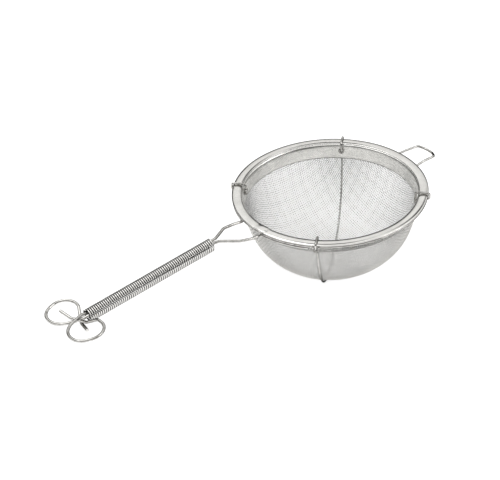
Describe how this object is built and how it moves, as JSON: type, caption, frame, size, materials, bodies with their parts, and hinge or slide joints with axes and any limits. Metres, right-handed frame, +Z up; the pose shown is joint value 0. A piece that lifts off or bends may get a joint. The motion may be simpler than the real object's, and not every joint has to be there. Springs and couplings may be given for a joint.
{
  "type": "double sieve strainer",
  "caption": "Hand-held strainer with two nested mesh bowls in a domed steel rim, a wire frame with a rest hook, and a loose coil grip on a looped wire handle.",
  "frame": {"origin": "middle of the overall box's base, on the surface that the strainer lies on", "axes": "+X from the handle's tail loops to the rest hook, +Y to the left seen from the handle, +Z up"},
  "size_m": [0.444, 0.2, 0.1082],
  "materials": {
    "rim_steel": "satin, spun and lightly scratched",
    "coarse_mesh": null,
    "fine_mesh": null,
    "frame_wire": "bright drawn wire",
    "coil_wire": "bright drawn wire, wound turn by turn"
  },
  "bodies": {
    "strainer": {"rim_flange": "rim_steel", "rim_skirt": "rim_steel", "coarse_mesh_bowl": "coarse_mesh", "fine_mesh_bowl": "fine_mesh", "hoop_wire": "frame_wire", "handle_wire_left": "frame_wire", "handle_wire_right": "frame_wire", "rest_wire": "frame_wire", "cradle_wire": "frame_wire", "rim_clip_left": "frame_wire", "rim_clip_right": "frame_wire", "cradle_tie_front": "frame_wire", "cradle_tie_rear": "frame_wire"},
    "grip": {"grip_coil": "coil_wire"}
  },
  "joints": [
    {"name": "grip_turn", "type": "hinge", "parent": "strainer", "child": "grip", "pos_m": [-0.12003, 0, 0.03374], "axis": [-0.9491, 0, -0.315], "continuous": true}
  ]
}
